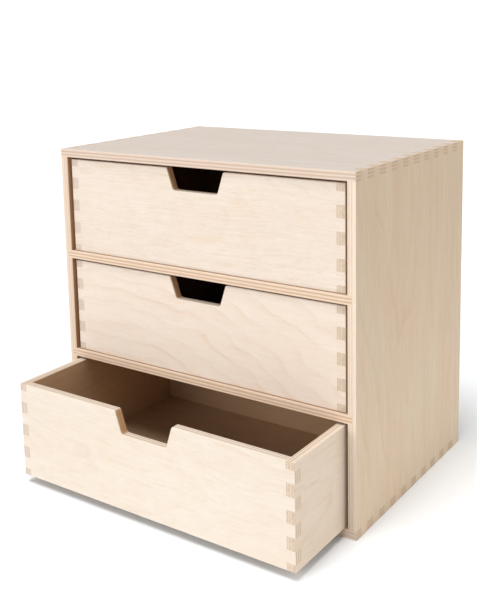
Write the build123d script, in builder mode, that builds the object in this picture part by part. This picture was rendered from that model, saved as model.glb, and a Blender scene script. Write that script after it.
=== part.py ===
from build123d import *
import os

# Desktop unit of three drawers in 5-ply birch plywood, finger jointed and glued.
# Millimetres. Origin: middle of the underside of the carcass. X = right,
# Y = towards the back (the drawers pull out towards -Y), Z = up.

os.makedirs("parts", exist_ok=True)

# ---- driving dimensions -------------------------------------------------
width = 260.0            # carcass, left to right
depth = 180.0            # carcass, front to back
height = 250.0           # carcass, underside to top
board = 6.5              # five plies of birch
bays = 3                 # one drawer in each
dado = board / 2         # how far a shelf is let into each side
back_board = 3.0         # thin board of the back, let in flush
back_lap = 3.25          # how far the back reaches into the four panels
finger = 8.85            # width of one finger, carcass and drawers
first_finger = 7.2       # narrow finger at the front of the carcass corners
carcass_steps = 18       # full fingers after the narrow one
ease = 0.5               # sanded outer edges
rim_ease = 0.4           # sanded edges round the openings

side_gap = 2.3           # drawer to carcass side, each side
head_gap = 5.0 / 3       # drawer top to the board above it
recess = 2.2             # drawer front behind the carcass front
tail_gap = 0.3           # closed drawer to the back board
base_board = 3.0         # drawer base
base_up = 2.5            # underside of the base above the drawer's lower edge
base_lap = 3.25          # how far the base reaches into the four walls

notch_top = 50.0         # finger notch in a drawer front, at its top
notch_floor = 39.0       # and at its floor
notch_depth = 16.5
notch_floor_round = 3.0
notch_top_round = 2.0
notch_ease = 0.5

pulled_out = 65.0        # the bottom drawer stands open by this much

# ---- derived ------------------------------------------------------------
front_y = -depth / 2
back_y = depth / 2
inner_w = width - 2 * board
bay_h = (height - (bays + 1) * board) / bays
back_face_y = back_y - back_board
floors = [board + i * (bay_h + board) for i in range(bays)]   # top of each floor

drawer_w = inner_w - 2 * side_gap
drawer_h = bay_h - head_gap
drawer_front_y = front_y + recess
drawer_d = back_face_y - tail_gap - drawer_front_y
drawer_steps = 7
drawer_end = (drawer_h - drawer_steps * finger) / 2           # part fingers, top and bottom

# Finger layout of a carcass corner, as (start, end) along Y. Even places
# belong to the top or bottom panel, odd ones and the rest to the side.
marks = [front_y, front_y + first_finger]
for i in range(carcass_steps):
    marks.append(marks[-1] + finger)
panel_places = [(marks[i], marks[i + 1]) for i in range(0, carcass_steps + 1, 2)]
side_places = [(marks[i], marks[i + 1]) for i in range(1, carcass_steps, 2)]
side_places.append((marks[-1], back_y))

# Finger layout of a drawer corner over its height. The first, the last and
# every second place belong to the side walls, the four between to the ends.
steps = [0.0, drawer_end]
for i in range(drawer_steps):
    steps.append(steps[-1] + finger)
steps.append(drawer_h)
wall_places = [(steps[i], steps[i + 1]) for i in range(0, drawer_steps + 2, 2)]
end_places = [(steps[i], steps[i + 1]) for i in range(1, drawer_steps + 1, 2)]

# ---- carcass ------------------------------------------------------------
# The outer block with sanded edges, to trim every carcass panel with.
with BuildPart() as sanded_block:
    with Locations((0, 0, height / 2)):
        Box(width, depth, height)
    fillet(sanded_block.edges(), radius=ease)

# The bays, widening to the front at 45 degrees: their sanded front edges.
with BuildPart() as bay_rims:
    for floor_z in floors:
        with BuildSketch(Plane.XZ.offset(-front_y - rim_ease)):
            with Locations((0, floor_z + bay_h / 2)):
                Rectangle(inner_w, bay_h)
        extrude(amount=rim_ease, taper=-45)

# The back board, held in a rebate of the four panels.
with BuildPart() as back_panel:
    with Locations((0, back_y - back_board / 2, height / 2)):
        Box(
            inner_w + 2 * back_lap,
            back_board,
            height - 2 * board + 2 * back_lap,
        )
back_panel.part.label = "back_panel"
export_step(back_panel.part, "parts/back_panel.step")

# Two shelves between the drawers, let into the sides to half the board.
with BuildPart() as upper_shelf:
    with BuildSketch(Plane.XY.offset(floors[2] - board)):
        with Locations((0, (front_y + back_face_y) / 2)):
            Rectangle(inner_w + 2 * dado, back_face_y - front_y)
    extrude(amount=board)
    add(bay_rims.part, mode=Mode.SUBTRACT)
    add(sanded_block.part, mode=Mode.INTERSECT)
upper_shelf.part.label = "upper_shelf"
export_step(upper_shelf.part, "parts/upper_shelf.step")

with BuildPart() as lower_shelf:
    with BuildSketch(Plane.XY.offset(floors[1] - board)):
        with Locations((0, (front_y + back_face_y) / 2)):
            Rectangle(inner_w + 2 * dado, back_face_y - front_y)
    extrude(amount=board)
    add(bay_rims.part, mode=Mode.SUBTRACT)
    add(sanded_block.part, mode=Mode.INTERSECT)
lower_shelf.part.label = "lower_shelf"
export_step(lower_shelf.part, "parts/lower_shelf.step")

# Top and bottom panels: full width, with seats for the fingers of the sides.
with BuildPart() as top_panel:
    with BuildSketch(Plane.XY.offset(height - board)):
        Rectangle(width, depth)
        for y0, y1 in side_places:
            with Locations(
                (-width / 2 + board / 2, (y0 + y1) / 2),
                (width / 2 - board / 2, (y0 + y1) / 2),
            ):
                Rectangle(board, y1 - y0, mode=Mode.SUBTRACT)
    extrude(amount=board)
    add(back_panel.part, mode=Mode.SUBTRACT)
    add(bay_rims.part, mode=Mode.SUBTRACT)
    add(sanded_block.part, mode=Mode.INTERSECT)
top_panel.part.label = "top_panel"
export_step(top_panel.part, "parts/top_panel.step")

with BuildPart() as bottom_panel:
    with BuildSketch(Plane.XY):
        Rectangle(width, depth)
        for y0, y1 in side_places:
            with Locations(
                (-width / 2 + board / 2, (y0 + y1) / 2),
                (width / 2 - board / 2, (y0 + y1) / 2),
            ):
                Rectangle(board, y1 - y0, mode=Mode.SUBTRACT)
    extrude(amount=board)
    add(back_panel.part, mode=Mode.SUBTRACT)
    add(bay_rims.part, mode=Mode.SUBTRACT)
    add(sanded_block.part, mode=Mode.INTERSECT)
bottom_panel.part.label = "bottom_panel"
export_step(bottom_panel.part, "parts/bottom_panel.step")

# Side panels: full height, with seats for the fingers of top and bottom, a
# housing for each shelf and the rebate for the back.
with BuildPart() as left_side_panel:
    with BuildSketch(Plane.YZ.offset(-width / 2)):
        with Locations((0, height / 2)):
            Rectangle(depth, height)
        for y0, y1 in panel_places:
            with Locations(
                ((y0 + y1) / 2, board / 2),
                ((y0 + y1) / 2, height - board / 2),
            ):
                Rectangle(y1 - y0, board, mode=Mode.SUBTRACT)
    extrude(amount=board)
    for floor_z in floors[1:]:
        with Locations(
            (
                -inner_w / 2 - dado / 2,
                (front_y + back_face_y) / 2,
                floor_z - board / 2,
            )
        ):
            Box(dado, back_face_y - front_y, board, mode=Mode.SUBTRACT)
    add(back_panel.part, mode=Mode.SUBTRACT)
    add(bay_rims.part, mode=Mode.SUBTRACT)
    add(sanded_block.part, mode=Mode.INTERSECT)
left_side_panel.part.label = "left_side_panel"
export_step(left_side_panel.part, "parts/left_side_panel.step")

with BuildPart() as right_side_panel:
    with BuildSketch(Plane.YZ.offset(width / 2 - board)):
        with Locations((0, height / 2)):
            Rectangle(depth, height)
        for y0, y1 in panel_places:
            with Locations(
                ((y0 + y1) / 2, board / 2),
                ((y0 + y1) / 2, height - board / 2),
            ):
                Rectangle(y1 - y0, board, mode=Mode.SUBTRACT)
    extrude(amount=board)
    for floor_z in floors[1:]:
        with Locations(
            (
                inner_w / 2 + dado / 2,
                (front_y + back_face_y) / 2,
                floor_z - board / 2,
            )
        ):
            Box(dado, back_face_y - front_y, board, mode=Mode.SUBTRACT)
    add(back_panel.part, mode=Mode.SUBTRACT)
    add(bay_rims.part, mode=Mode.SUBTRACT)
    add(sanded_block.part, mode=Mode.INTERSECT)
right_side_panel.part.label = "right_side_panel"
export_step(right_side_panel.part, "parts/right_side_panel.step")

# ---- drawers ------------------------------------------------------------
# All three are alike. Each is five boards: front, back, two side walls and
# a base held in a groove that stops short of the corners.
places = [
    ("bottom_drawer", floors[0], drawer_front_y - pulled_out),
    ("middle_drawer", floors[1], drawer_front_y),
    ("top_drawer", floors[2], drawer_front_y),
]

for drawer, z0, y0 in places:
    y1 = y0 + drawer_d

    # The drawer's outer block with sanded edges, to trim its walls with.
    with BuildPart() as sanded_drawer:
        with Locations((0, (y0 + y1) / 2, z0 + drawer_h / 2)):
            Box(drawer_w, drawer_d, drawer_h)
        fillet(sanded_drawer.edges(), radius=ease)

    # Sanded inner edge of the rim: the inside, widening upwards at 45 degrees.
    with BuildPart() as rim:
        with BuildSketch(Plane.XY.offset(z0 + drawer_h - rim_ease)):
            with Locations((0, (y0 + y1) / 2)):
                Rectangle(drawer_w - 2 * board, drawer_d - 2 * board)
        extrude(amount=rim_ease, taper=-45)

    with BuildPart() as base:
        with Locations((0, (y0 + y1) / 2, z0 + base_up + base_board / 2)):
            Box(
                drawer_w - 2 * board + 2 * base_lap,
                drawer_d - 2 * board + 2 * base_lap,
                base_board,
            )
    base.part.label = drawer + "_base"
    export_step(base.part, "parts/" + drawer + "_base.step")

    # Front board, with the notch that the drawer is pulled by.
    with BuildPart() as front:
        with BuildSketch(Plane.XZ.offset(-y0)):
            with Locations((0, z0 + drawer_h / 2)):
                Rectangle(drawer_w, drawer_h)
            for a, b in wall_places:
                with Locations(
                    (-drawer_w / 2 + board / 2, z0 + (a + b) / 2),
                    (drawer_w / 2 - board / 2, z0 + (a + b) / 2),
                ):
                    Rectangle(board, b - a, mode=Mode.SUBTRACT)
            with BuildLine():
                Polyline(
                    (-notch_top / 2, z0 + drawer_h),
                    (-notch_floor / 2, z0 + drawer_h - notch_depth),
                    (notch_floor / 2, z0 + drawer_h - notch_depth),
                    (notch_top / 2, z0 + drawer_h),
                    close=True,
                )
            make_face(mode=Mode.SUBTRACT)
        extrude(amount=-board)
        notch_corners = front.edges().filter_by(Axis.Y).filter_by(
            lambda e: abs(e.center().X) < notch_top / 2 + 0.1
        )
        fillet(
            notch_corners.filter_by(
                lambda e: e.center().Z < z0 + drawer_h - notch_depth + 0.1
            ),
            radius=notch_floor_round,
        )
        fillet(
            front.edges()
            .filter_by(Axis.Y)
            .filter_by(
                lambda e: abs(abs(e.center().X) - notch_top / 2) < 0.1
                and e.center().Z > z0 + drawer_h - 0.1
            ),
            radius=notch_top_round,
        )
        chamfer(
            front.edges().filter_by(
                lambda e: abs(e.center().X) < notch_top / 2 + notch_top_round
                and e.center().Z > z0 + drawer_h - notch_depth - 0.1
                and e.center().Z < z0 + drawer_h - 0.01
                and (
                    abs(e.center().Y - y0) < 0.01
                    or abs(e.center().Y - y0 - board) < 0.01
                )
            ),
            length=notch_ease,
        )
        add(base.part, mode=Mode.SUBTRACT)
        add(rim.part, mode=Mode.SUBTRACT)
        add(sanded_drawer.part, mode=Mode.INTERSECT)
    front.part.label = drawer + "_front"
    export_step(front.part, "parts/" + drawer + "_front.step")

    # Back board, jointed like the front.
    with BuildPart() as back:
        with BuildSketch(Plane.XZ.offset(-(y1 - board))):
            with Locations((0, z0 + drawer_h / 2)):
                Rectangle(drawer_w, drawer_h)
            for a, b in wall_places:
                with Locations(
                    (-drawer_w / 2 + board / 2, z0 + (a + b) / 2),
                    (drawer_w / 2 - board / 2, z0 + (a + b) / 2),
                ):
                    Rectangle(board, b - a, mode=Mode.SUBTRACT)
        extrude(amount=-board)
        add(base.part, mode=Mode.SUBTRACT)
        add(rim.part, mode=Mode.SUBTRACT)
        add(sanded_drawer.part, mode=Mode.INTERSECT)
    back.part.label = drawer + "_back"
    export_step(back.part, "parts/" + drawer + "_back.step")

    # Side walls, with seats for the fingers of the front and the back.
    for side, x0 in (("left", -drawer_w / 2), ("right", drawer_w / 2 - board)):
        with BuildPart() as wall:
            with BuildSketch(Plane.YZ.offset(x0)):
                with Locations(((y0 + y1) / 2, z0 + drawer_h / 2)):
                    Rectangle(drawer_d, drawer_h)
                for a, b in end_places:
                    with Locations(
                        (y0 + board / 2, z0 + (a + b) / 2),
                        (y1 - board / 2, z0 + (a + b) / 2),
                    ):
                        Rectangle(board, b - a, mode=Mode.SUBTRACT)
            extrude(amount=board)
            add(base.part, mode=Mode.SUBTRACT)
            add(rim.part, mode=Mode.SUBTRACT)
            add(sanded_drawer.part, mode=Mode.INTERSECT)
        wall.part.label = drawer + "_" + side + "_side"
        export_step(wall.part, "parts/" + drawer + "_" + side + "_side.step")
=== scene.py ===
import math
import bpy
from mathutils import Matrix, Vector


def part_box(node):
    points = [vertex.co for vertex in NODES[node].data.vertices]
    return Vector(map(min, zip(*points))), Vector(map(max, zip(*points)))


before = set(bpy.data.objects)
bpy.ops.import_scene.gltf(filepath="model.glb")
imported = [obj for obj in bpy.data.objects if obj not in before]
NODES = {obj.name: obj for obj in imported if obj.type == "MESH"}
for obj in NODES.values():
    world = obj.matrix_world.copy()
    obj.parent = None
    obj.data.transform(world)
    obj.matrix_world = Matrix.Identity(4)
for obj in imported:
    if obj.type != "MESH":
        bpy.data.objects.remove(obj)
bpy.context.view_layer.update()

AXES = {"X": 0, "Y": 1, "Z": 2}


# ---------------------------------------------------------------- node help
class Tree:
    """Short calls that make shader nodes and link them."""

    def __init__(self, name):
        self.mat = bpy.data.materials.new(name)
        self.mat.use_nodes = True
        self.t = self.mat.node_tree
        self.t.nodes.clear()
        self.x = 0

    def node(self, kind, **settings):
        n = self.t.nodes.new(kind)
        n.location = (self.x, 0)
        self.x += 160
        for k, v in settings.items():
            setattr(n, k, v)
        return n

    def put(self, socket, value):
        if isinstance(value, bpy.types.NodeSocket):
            self.t.links.new(value, socket)
        else:
            socket.default_value = value

    def math(self, op, a, b=0.0, c=0.0, clamp=False):
        n = self.node("ShaderNodeMath", operation=op, use_clamp=clamp)
        self.put(n.inputs[0], a)
        self.put(n.inputs[1], b)
        self.put(n.inputs[2], c)
        return n.outputs[0]

    def vec(self, x, y, z):
        n = self.node("ShaderNodeCombineXYZ")
        for s, v in zip(n.inputs, (x, y, z)):
            self.put(s, v)
        return n.outputs[0]

    def step(self, v, lo, hi, out_lo=0.0, out_hi=1.0):
        n = self.node("ShaderNodeMapRange", interpolation_type="SMOOTHSTEP")
        self.put(n.inputs["Value"], v)
        n.inputs["From Min"].default_value = lo
        n.inputs["From Max"].default_value = hi
        n.inputs["To Min"].default_value = out_lo
        n.inputs["To Max"].default_value = out_hi
        return n.outputs["Result"]

    def noise(self, v, detail=2.0, rough=0.5, distort=0.0):
        n = self.node("ShaderNodeTexNoise", noise_dimensions="3D")
        self.put(n.inputs["Vector"], v)
        n.inputs["Scale"].default_value = 1.0
        n.inputs["Detail"].default_value = detail
        n.inputs["Roughness"].default_value = rough
        n.inputs["Distortion"].default_value = distort
        return n.outputs["Fac"]

    def mix(self, fac, a, b, blend="MIX"):
        n = self.node("ShaderNodeMix", data_type="RGBA", blend_type=blend)
        self.put(n.inputs["Factor"], fac)
        self.put(n.inputs[6], a if isinstance(a, bpy.types.NodeSocket) else (*a, 1))
        self.put(n.inputs[7], b if isinstance(b, bpy.types.NodeSocket) else (*b, 1))
        return n.outputs[2]

    def fmix(self, fac, a, b):
        n = self.node("ShaderNodeMix", data_type="FLOAT")
        self.put(n.inputs["Factor"], fac)
        self.put(n.inputs[2], a)
        self.put(n.inputs[3], b)
        return n.outputs[0]

    def ramp(self, fac, stops):
        n = self.node("ShaderNodeValToRGB")
        n.color_ramp.interpolation = "LINEAR"
        e = n.color_ramp.elements
        e[0].position, e[0].color = stops[0][0], (*stops[0][1], 1)
        e[1].position, e[1].color = stops[-1][0], (*stops[-1][1], 1)
        for p, c in stops[1:-1]:
            k = e.new(p)
            k.color = (*c, 1)
        self.put(n.inputs[0], fac)
        return n.outputs[0]


def shade(c, k):
    return tuple(min(1.0, v * k) for v in c)


def tint(c, rgb):
    return tuple(min(1.0, v * k) for v, k in zip(c, rgb))


def ply_stops(layers, tones, glue, thick):
    """Ramp stops over the thickness: one tone per ply, a thin glue line between."""
    edges, at = [], 0.0
    for l in layers:
        edges.append((at / thick, (at + l) / thick))
        at += l
    line = 0.11 / thick
    stops = []
    for i, ((a, b), tone) in enumerate(zip(edges, tones)):
        lo = a if i == 0 else a + line
        hi = b if i == len(edges) - 1 else b - line
        stops.append((lo, tone))
        stops.append((hi, tone))
        if i < len(edges) - 1:
            stops.append((b, tuple((x + y) / 2 * g for x, y, g in zip(tone, tones[i + 1], glue))))
    stops[0] = (0.0, stops[0][1])
    stops[-1] = (1.0, stops[-1][1])
    return stops


def birch(name, across, grain, seed, base, figure, thick=6.5, layers=None):
    """Birch plywood board. across: the axis of its thickness; grain: the axis of
    its face grain; figure: how strong the growth figure, flecks and clouds are."""
    t = Tree("birch_" + name)
    side = next(a for a in "XYZ" if a not in (across, grain))
    tc = t.node("ShaderNodeTexCoord")
    p = t.node("ShaderNodeSeparateXYZ")
    t.put(p.inputs[0], tc.outputs["Object"])
    nr = t.node("ShaderNodeSeparateXYZ")
    t.put(nr.inputs[0], tc.outputs["Normal"])
    # millimetres along the grain, across it, and through the board
    u = t.math("MULTIPLY", p.outputs[AXES[grain]], 1000.0)
    v = t.math("MULTIPLY", p.outputs[AXES[side]], 1000.0)
    w = t.math("MULTIPLY", p.outputs[AXES[across]], 1000.0)
    n_face = t.math("ABSOLUTE", nr.outputs[AXES[across]])
    n_end = t.math("ABSOLUTE", nr.outputs[AXES[grain]])
    n_side = t.math("ABSOLUTE", nr.outputs[AXES[side]])
    on_face = t.step(n_face, 0.62, 0.86)
    on_end = t.step(t.math("SUBTRACT", n_end, n_side), -0.12, 0.12)
    depth = t.math("MULTIPLY", w, 0.37)          # the two faces differ
    s = float(seed)

    # ---- the face: rotary-cut veneer -------------------------------------
    f = figure
    su = t.math("SUBTRACT", u, f["at"][0])
    sv = t.math("SUBTRACT", v, f["at"][1])
    lean = t.math("MULTIPLY_ADD", su, -f["skew"], sv)
    wander = t.noise(t.vec(t.math("MULTIPLY_ADD", u, 1 / 70.0, s), t.math("MULTIPLY", v, 1 / 34.0), depth), 2.0, 0.45)
    tremble = t.noise(t.vec(t.math("MULTIPLY_ADD", u, 1 / 15.0, s), t.math("MULTIPLY", v, 1 / 9.0), depth), 2.0, 0.5)
    ru = t.math("MULTIPLY", su, 1 / f["size"][0])
    rv = t.math("MULTIPLY", lean, 1 / f["size"][1])
    arch = t.math("SQRT", t.math("ADD", t.math("MULTIPLY", ru, ru), t.math("MULTIPLY", rv, rv)))
    field = t.math("ADD", t.math("MULTIPLY_ADD", wander, f["wander"], arch), t.math("MULTIPLY", tremble, f["tremble"]))
    rings = t.math("FRACT", t.math("MULTIPLY", field, f["rings"]))
    uneven = t.noise(t.vec(t.math("MULTIPLY", t.math("FLOOR", t.math("MULTIPLY", field, f["rings"])), 7.31), s, depth), 0.0, 0.5)
    late = t.math("MULTIPLY", t.step(rings, 0.62, 0.95), t.step(rings, 1.0, 0.965))
    late_soft = t.math("POWER", rings, 2.0)
    breaks = t.step(
        t.noise(t.vec(t.math("MULTIPLY", u, 1 / 40.0), t.math("MULTIPLY", v, 1 / 15.0), t.math("ADD", depth, s * 2.3)), 2.0, 0.55),
        0.34,
        0.64,
    )
    ring_amount = t.math("MULTIPLY", t.math("MULTIPLY", late, breaks), t.math("MULTIPLY", t.step(uneven, 0.3, 0.7, 0.35, 1.0), f["line"]))
    v_w = t.math("MULTIPLY_ADD", wander, 9.0, t.math("MULTIPLY_ADD", tremble, 2.0, v))
    cloud = t.noise(
        t.vec(t.math("MULTIPLY_ADD", u, 1 / 110.0, s), t.math("MULTIPLY", v, 1 / 38.0), t.math("ADD", depth, s * 0.3)), 3.0, 0.5
    )
    blush = t.noise(
        t.vec(t.math("MULTIPLY_ADD", u, 1 / 150.0, s * 2.0), t.math("MULTIPLY", v, 1 / 22.0), t.math("ADD", depth, s * 1.9)), 2.0, 0.5
    )
    sheen = t.noise(
        t.vec(t.math("MULTIPLY", u, 1 / 8.0), t.math("MULTIPLY", v, 1 / 30.0), t.math("ADD", depth, s * 2.7)), 2.0, 0.5
    )
    mottle = t.noise(
        t.vec(t.math("MULTIPLY", u, 1 / 15.0), t.math("MULTIPLY", v, 1 / 6.5), t.math("ADD", depth, s * 3.7)), 3.0, 0.6
    )
    streak = t.noise(
        t.vec(t.math("MULTIPLY", u, 1 / 52.0), t.math("MULTIPLY", v_w, 1 / 1.3), t.math("ADD", depth, s)), 4.0, 0.62
    )
    fibre = t.noise(
        t.vec(t.math("MULTIPLY", u, 1 / 11.0), t.math("MULTIPLY", v_w, 1 / 0.85), t.math("ADD", depth, s * 5.3)), 4.0, 0.6
    )
    silk = t.noise(
        t.vec(t.math("MULTIPLY", u, 1 / 7.0), t.math("MULTIPLY", v_w, 1 / 0.22), t.math("ADD", depth, s * 3.1)), 2.0, 0.6
    )
    fleck_a = t.step(
        t.noise(t.vec(t.math("MULTIPLY", u, 1 / 4.5), t.math("MULTIPLY", v_w, 1 / 0.42), t.math("ADD", depth, s * 1.3)), 1.0, 0.5),
        0.66,
        0.80,
    )
    fleck_b = t.step(
        t.noise(t.vec(t.math("MULTIPLY", u, 1 / 13.0), t.math("MULTIPLY", v_w, 1 / 0.9), t.math("ADD", depth, s * 0.9)), 2.0, 0.5),
        0.62,
        0.80,
    )
    fleck_zone = t.step(
        t.noise(t.vec(t.math("MULTIPLY", u, 1 / 60.0), t.math("MULTIPLY", v, 1 / 22.0), t.math("ADD", depth, s * 4.1)), 2.0, 0.5),
        0.36,
        0.64,
    )
    face = t.mix(t.step(cloud, 0.34, 0.70, 0.0, f["cloud"]), shade(base, 1.02), tint(base, (0.955, 0.92, 0.875)))
    face = t.mix(t.step(blush, 0.42, 0.66, 0.0, f["blush"]), face, tint(base, (0.985, 0.915, 0.865)))
    face = t.mix(t.step(sheen, 0.35, 0.65, 0.0, 0.22), face, tint(base, (0.96, 0.955, 0.93)))
    face = t.mix(t.step(mottle, 0.50, 0.72, 0.0, f["mottle"]), face, tint(base, (0.975, 0.925, 0.84)))
    face = t.mix(t.step(mottle, 0.46, 0.28, 0.0, f["mottle"]), face, tint(base, (1.035, 1.04, 1.05)))
    face = t.mix(t.math("MULTIPLY", late_soft, f["soft"]), face, tint(base, (0.935, 0.86, 0.79)))
    face = t.mix(ring_amount, face, tint(base, (0.80, 0.655, 0.53)))
    face = t.mix(t.step(streak, 0.48, 0.74, 0.0, f["streak"]), face, tint(base, (0.87, 0.775, 0.68)))
    face = t.mix(t.step(streak, 0.50, 0.30, 0.0, f["streak"]), face, shade(base, 1.07))
    face = t.mix(t.step(fibre, 0.50, 0.72, 0.0, f["fibre"]), face, tint(base, (0.80, 0.69, 0.585)))
    face = t.mix(t.step(fibre, 0.48, 0.28, 0.0, f["fibre"]), face, shade(base, 1.08))
    face = t.mix(t.step(silk, 0.30, 0.62, f["silk"], 0.0), face, shade(base, 1.08))
    face = t.mix(t.math("MULTIPLY", fleck_a, f["fleck"]), face, tint(base, (0.68, 0.54, 0.41)))
    face = t.mix(t.math("MULTIPLY", t.math("MULTIPLY", fleck_b, fleck_zone), f["dash"]), face, tint(base, (0.74, 0.59, 0.45)))

    # painted shade: the face darkens towards the far end along the grain (the top of the right side panel), standing
    # in for light that falls off towards the top
    if f["rise"] is not None:
        face = t.mix(t.step(u, 20.0, 245.0), face, t.mix(1.0, face, f["rise"], "MULTIPLY"))

    # painted shade: the faces that look inwards are tinted darker and warmer, standing in for the shade in the
    # recesses, gaps and interior
    if f["inner"] is not None:
        way, tone = f["inner"]
        if way == 0:
            inward_shade_mask = on_face
        else:
            inward_shade_mask = t.step(t.math("MULTIPLY", nr.outputs[AXES[across]], float(way)), 0.3, 0.7)
        face = t.mix(inward_shade_mask, face, t.mix(1.0, face, tone, "MULTIPLY"))

    # ---- the edge: the plies ---------------------------------------------
    lo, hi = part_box(name)
    a = AXES[across]
    start = lo[a] * 1000.0
    if layers is None:
        layers = f["layers"] or EVEN
    total = sum(layers)
    layers = [l * thick / total for l in layers]
    stir = t.noise(t.vec(t.math("MULTIPLY", u, 1 / 16.0), t.math("MULTIPLY", v, 1 / 16.0), s), 2.0, 0.5)
    where = t.math("ADD", t.math("MULTIPLY", t.math("SUBTRACT", w, start), 1 / thick), t.math("MULTIPLY_ADD", stir, 0.05, -0.025))
    k = f["plies"]
    light = tint(tint(base, (1.02, 0.995, 0.965)), f["rim"])
    brown = tint(tint(base, (1.0 - 0.27 * k, 1.0 - 0.36 * k, 1.0 - 0.44 * k)), f["rim"])
    grey = tint(tint(base, (0.77, 0.69, 0.61)), f["end"])
    mid = tint(tint(base, (0.95, 0.895, 0.84)), f["end"])
    glue = (1.0 - 0.24 * k, 1.0 - 0.32 * k, 1.0 - 0.40 * k)
    along = [light if i % 2 == 0 else brown for i in range(len(layers))]
    ends = [grey if i % 2 == 0 else mid for i in range(len(layers))]
    along_c = t.ramp(where, ply_stops(layers, along, glue, thick))
    end_c = t.ramp(where, ply_stops(layers, ends, glue, thick))
    # long wood streaks and end-grain pores in the plies
    run = t.noise(t.vec(t.math("MULTIPLY", u, 1 / 14.0), t.math("MULTIPLY", v, 1 / 14.0), t.math("MULTIPLY", w, 1 / 0.3)), 3.0, 0.6)
    pores = t.noise(t.vec(t.math("MULTIPLY", u, 1 / 0.5), t.math("MULTIPLY", v, 1 / 0.5), t.math("MULTIPLY", w, 1 / 0.3)), 2.0, 0.7)
    ray = t.noise(t.vec(t.math("MULTIPLY", u, 1 / 2.6), t.math("MULTIPLY", v, 1 / 2.6), t.math("MULTIPLY", w, 1 / 1.2)), 2.0, 0.6)
    along_c = t.mix(t.step(run, 0.50, 0.78, 0.0, 0.45), along_c, tint(base, (0.70, 0.58, 0.46)))
    along_c = t.mix(t.step(pores, 0.58, 0.76, 0.0, 0.25), along_c, tint(base, (0.60, 0.47, 0.36)))
    end_c = t.mix(t.step(pores, 0.52, 0.74, 0.0, 0.28), end_c, tint(base, (0.60, 0.48, 0.38)))
    end_c = t.mix(t.step(ray, 0.35, 0.68, 0.30, 0.0), end_c, tint(base, (0.97, 0.92, 0.86)))
    edge = t.mix(on_end, along_c, end_c)
    if f["notch"]:
        # painted shade: the side walls of the finger notch are darkened brown, standing in for the shade inside the
        # notch
        notch_wall_mask = t.step(t.math("ABSOLUTE", u), 34.0, 31.0)
        edge = t.mix(t.math("MULTIPLY", notch_wall_mask, t.step(n_end, 0.25, 0.75)), edge, t.mix(1.0, edge, (0.66, 0.48, 0.33), "MULTIPLY"))

    colour = t.mix(on_face, edge, face)

    # ---- finish ------------------------------------------------------------
    rough_face = t.math("MULTIPLY_ADD", streak, 0.16, 0.52)
    rough = t.fmix(on_face, t.math("MULTIPLY_ADD", pores, 0.14, 0.70), rough_face)
    height_face = t.math(
        "ADD",
        t.math("MULTIPLY", silk, 0.55),
        t.math("SUBTRACT", t.math("MULTIPLY", streak, 0.5), t.math("MULTIPLY", fleck_a, 0.5)),
    )
    height_edge = t.math("ADD", t.math("MULTIPLY", pores, 0.9), t.math("MULTIPLY", run, 0.8))
    height = t.fmix(on_face, height_edge, height_face)
    bump = t.node("ShaderNodeBump")
    bump.inputs["Strength"].default_value = 0.35
    bump.inputs["Distance"].default_value = 0.00012
    t.put(bump.inputs["Height"], height)

    b = t.node("ShaderNodeBsdfPrincipled")
    t.put(b.inputs["Base Color"], colour)
    t.put(b.inputs["Roughness"], rough)
    b.inputs["IOR"].default_value = 1.45
    b.inputs["Specular IOR Level"].default_value = 0.32
    t.put(b.inputs["Normal"], bump.outputs[0])
    out = t.node("ShaderNodeOutputMaterial")
    t.put(out.inputs["Surface"], b.outputs[0])
    return t.mat


# ---------------------------------------------------------------- materials
CREAM = (0.632, 0.553, 0.480)
THIN = (0.9, 1.2, 0.9)
EVEN = (1.55, 0.95, 1.5, 0.95, 1.55)
OUTER_HIGH = (1.05, 0.70, 1.25, 0.75, 2.75)      # thicker clean ply on the outside
OUTER_LOW = OUTER_HIGH[::-1]


def fig(at=(-150.0, 10.0), size=(220.0, 46.0), **over):
    """at: middle of the growth figure, along and across the grain, in mm; size:
    half length and half width of one ring; the rest are strengths."""
    f = dict(at=at, size=size, skew=0.0, wander=0.42, tremble=0.035, rings=6.0, line=0.26, soft=0.16,
             cloud=0.40, blush=0.25, streak=0.26, fibre=0.20, silk=0.25, fleck=0.25, dash=0.30,
             mottle=0.30, plies=0.8, end=(1.0, 1.0, 1.0), rim=(1.0, 1.0, 1.0), rise=None, inner=None, notch=False, layers=None)
    f.update(over)
    return f


# painted shade: darker, warmer tones for the inward faces of the carcass, shelves and drawers, standing in for the
# shade inside
CARCASS_INNER_SHADE = (0.70, 0.48, 0.31)
SHELF_INNER_SHADE = (0.56, 0.44, 0.35)
DRAWER_INNER_SHADE = (0.88, 0.72, 0.55)

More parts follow.
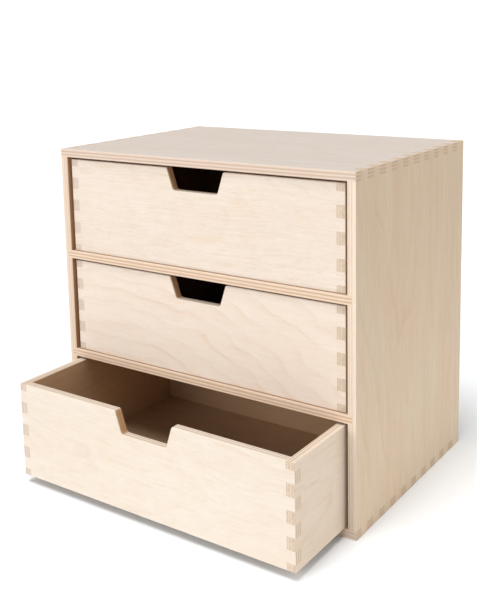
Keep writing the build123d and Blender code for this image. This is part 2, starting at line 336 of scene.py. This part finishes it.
BOARDS = {
    # name: (thickness axis, grain axis, seed, colour, figure)
    "top_panel": ("Z", "X", 3.1, tint(CREAM, (0.945, 0.975, 1.035)), fig((-420.0, -20.0), (400.0, 62.0), line=0.22, soft=0.2, streak=0.34, fibre=0.3, dash=0.6, plies=0.70, end=(1.08, 0.94, 0.78), rim=(0.97, 0.89, 0.82), inner=(-1, CARCASS_INNER_SHADE))),
    "bottom_panel": ("Z", "X", 12.4, tint(CREAM, (0.98, 0.94, 0.89)), fig((260.0, 30.0), (300.0, 60.0), plies=0.55, end=(1.10, 1.06, 1.0), inner=(1, CARCASS_INNER_SHADE))),
    "left_side_panel": ("X", "Z", 7.7, tint(CREAM, (0.995, 0.95, 0.89)), fig((430.0, 24.0), (380.0, 56.0), skew=0.08, cloud=0.5, blush=0.5, plies=0.5, end=(1.10, 1.16, 1.22), rim=(0.99, 0.98, 0.99), layers=OUTER_LOW, inner=(1, CARCASS_INNER_SHADE))),
    "right_side_panel": ("X", "Z", 21.3, tint(CREAM, (1.062, 0.995, 0.863)), fig((470.0, -65.0), (420.0, 61.0), skew=-0.15, wander=0.30, rings=7.0, line=0.30, soft=0.18, cloud=1.0, blush=1.0, mottle=0.4, streak=0.45, fibre=0.22, fleck=0.2, dash=0.2, plies=0.5, end=(1.02, 1.07, 1.15), rim=(0.97, 1.02, 1.15), rise=(0.881, 0.850, 0.839), layers=OUTER_HIGH, inner=(-1, CARCASS_INNER_SHADE))),
    "upper_shelf": ("Z", "X", 5.2, tint(CREAM, (1.0, 0.98, 0.955)), fig(plies=0.9, rim=(1.0, 0.93, 0.87), inner=(0, SHELF_INNER_SHADE))),
    "lower_shelf": ("Z", "X", 9.9, tint(CREAM, (1.0, 0.98, 0.955)), fig((120.0, 20.0), plies=0.9, rim=(1.0, 0.93, 0.87), inner=(0, SHELF_INNER_SHADE))),
    "top_drawer_front": ("Y", "X", 14.6, tint(CREAM, (0.995, 0.995, 1.0)), fig((-76.0, 206.0), (88.0, 27.0), wander=0.5, rings=4.0, line=0.12, soft=0.10, cloud=0.6, mottle=0.85, streak=0.42, fibre=0.26, fleck=0.35, dash=0.35, notch=True, end=(1.29, 1.27, 1.22), inner=(1, DRAWER_INNER_SHADE))),
    "middle_drawer_front": ("Y", "X", 30.2, tint(CREAM, (1.045, 1.04, 1.045)), fig((-105.0, 2.0), (205.0, 118.0), wander=0.34, tremble=0.006, rings=9.5, line=0.28, soft=0.42, cloud=0.5, blush=0.45, mottle=0.55, streak=0.26, fibre=0.16, dash=0.2, notch=True, end=(1.29, 1.27, 1.22), inner=(1, DRAWER_INNER_SHADE))),
    "bottom_drawer_front": ("Y", "X", 41.5, tint(CREAM, (1.0, 1.02, 1.025)), fig((-300.0, 34.0), (320.0, 38.0), wander=0.35, rings=6.0, line=0.20, soft=0.18, cloud=0.45, mottle=0.75, streak=0.34, fibre=0.22, dash=0.35, notch=True, end=(1.29, 1.27, 1.22), inner=(1, DRAWER_INNER_SHADE))),
}

for drawer, seed in (("top", 50.0), ("middle", 60.0), ("bottom", 70.0)):
    BOARDS[drawer + "_drawer_back"] = ("Y", "X", seed + 1.3, tint(CREAM, (0.985, 0.965, 0.94)), fig((seed * 3 - 150, 120.0), (260.0, 60.0), inner=(-1, DRAWER_INNER_SHADE)))
    BOARDS[drawer + "_drawer_left_side"] = ("X", "Y", seed + 2.9, tint(CREAM, (0.99, 0.975, 0.955)), fig((-240.0, seed * 2 - 20), (230.0, 44.0), plies=0.9, end=(1.01, 1.06, 1.18), layers=OUTER_LOW, inner=(1, DRAWER_INNER_SHADE)))
    BOARDS[drawer + "_drawer_right_side"] = ("X", "Y", seed + 4.1, tint(CREAM, (1.145, 1.11, 1.04)), fig((-330.0, 38.0), (250.0, 40.0), line=0.2, plies=1.0, end=(0.825, 0.86, 0.92), rim=(0.925, 0.95, 0.99), layers=OUTER_HIGH, inner=(-1, DRAWER_INNER_SHADE)))

for name, (across, grain, seed, base, figure) in BOARDS.items():
    NODES[name].data.materials.clear()
    NODES[name].data.materials.append(birch(name, across, grain, seed, base, figure))

NODES["back_panel"].data.materials.clear()
NODES["back_panel"].data.materials.append(
    birch("back_panel", "Y", "Z", 88.0, tint(CREAM, (0.95, 0.925, 0.89)), fig((-300.0, 10.0), (330.0, 80.0), line=0.34, soft=0.25, inner=(-1, CARCASS_INNER_SHADE)), 3.0, THIN)
)
for drawer, seed in (("top", 91.0), ("middle", 93.0), ("bottom", 95.0)):
    name = drawer + "_drawer_base"
    NODES[name].data.materials.clear()
    NODES[name].data.materials.append(
        birch(name, "Z", "X", seed, tint(CREAM, (0.95, 0.925, 0.89)), fig((-260.0, 20.0), (300.0, 70.0), inner=(1, DRAWER_INNER_SHADE)), 3.0, THIN)
    )

# ---------------------------------------------------------------- floor
bpy.ops.mesh.primitive_plane_add(size=60.0, location=(0.0, 0.0, 0.0))
floor = bpy.context.object
floor.name = "studio_floor"
fm = bpy.data.materials.new("studio_floor")
fm.use_nodes = True
fb = fm.node_tree.nodes["Principled BSDF"]
fb.inputs["Base Color"].default_value = (0.90, 0.925, 0.95, 1)
fb.inputs["Roughness"].default_value = 0.85
fb.inputs["Specular IOR Level"].default_value = 0.15
fb.inputs["Emission Color"].default_value = (1, 1, 1, 1)
fb.inputs["Emission Strength"].default_value = 0.0
floor.data.materials.append(fm)

# ---------------------------------------------------------------- light
scene = bpy.context.scene
world = bpy.data.worlds.new("studio")
scene.world = world
world.use_nodes = True
wt = world.node_tree
wt.nodes.clear()
seen = wt.nodes.new("ShaderNodeBackground")
seen.inputs[0].default_value = (1, 1, 1, 1)
seen.inputs[1].default_value = 1.0
lit = wt.nodes.new("ShaderNodeBackground")
lit.inputs[0].default_value = (1.0, 0.965, 0.92, 1)
lit.inputs[1].default_value = 0.42
path = wt.nodes.new("ShaderNodeLightPath")
mixw = wt.nodes.new("ShaderNodeMixShader")
outw = wt.nodes.new("ShaderNodeOutputWorld")
wt.links.new(path.outputs["Is Camera Ray"], mixw.inputs[0])
wt.links.new(lit.outputs[0], mixw.inputs[1])
wt.links.new(seen.outputs[0], mixw.inputs[2])
wt.links.new(mixw.outputs[0], outw.inputs[0])


def sun(name, way, strength, spread, colour):
    """A wide soft light that shines along way."""
    d = bpy.data.lights.new(name, "SUN")
    d.energy = strength
    d.angle = math.radians(spread)
    d.color = colour
    o = bpy.data.objects.new(name, d)
    o.rotation_mode = "QUATERNION"
    o.rotation_quaternion = Vector(way).to_track_quat("-Z", "Y")
    scene.collection.objects.link(o)
    return o


sun("front_soft", (0.30, 1.0, -0.24), 2.05, 40.0, (1.0, 0.992, 0.975))
sun("overhead", (0.03, 0.30, -1.0), 2.10, 30.0, (0.985, 0.99, 1.0))
sun("fill_right_back", (-1.0, -0.55, -0.32), 0.86, 60.0, (1.0, 0.985, 0.96))

# ---------------------------------------------------------------- camera
cam_data = bpy.data.cameras.new("camera")
cam = bpy.data.objects.new("camera", cam_data)
scene.collection.objects.link(cam)
cam_data.sensor_fit = "AUTO"
cam_data.sensor_width = 36.0
cam_data.lens = 925.3 * 36.0 / 600.0
cam_data.shift_x = 0.0
cam_data.shift_y = -0.2083
az, el, roll = math.radians(35.044), math.radians(9.022), math.radians(-1.21)
fw = Vector((-math.sin(az) * math.cos(el), math.cos(az) * math.cos(el), -math.sin(el)))
rt = Vector((math.cos(az), math.sin(az), 0.0))
up = rt.cross(fw)
rt2 = rt * math.cos(roll) + up * math.sin(roll)
up2 = -rt * math.sin(roll) + up * math.cos(roll)
rot = Matrix((rt2, up2, -fw)).transposed()
place = Vector((2.0325 * 0.26 - 0.13, -1.9654 * 0.26 - 0.09, 1.3097 * 0.26))
cam.matrix_world = Matrix.Translation(place) @ rot.to_4x4()
cam_data.clip_start, cam_data.clip_end = 0.02, 50.0
scene.camera = cam

scene.view_settings.view_transform = "Standard"
scene.view_settings.look = "None"
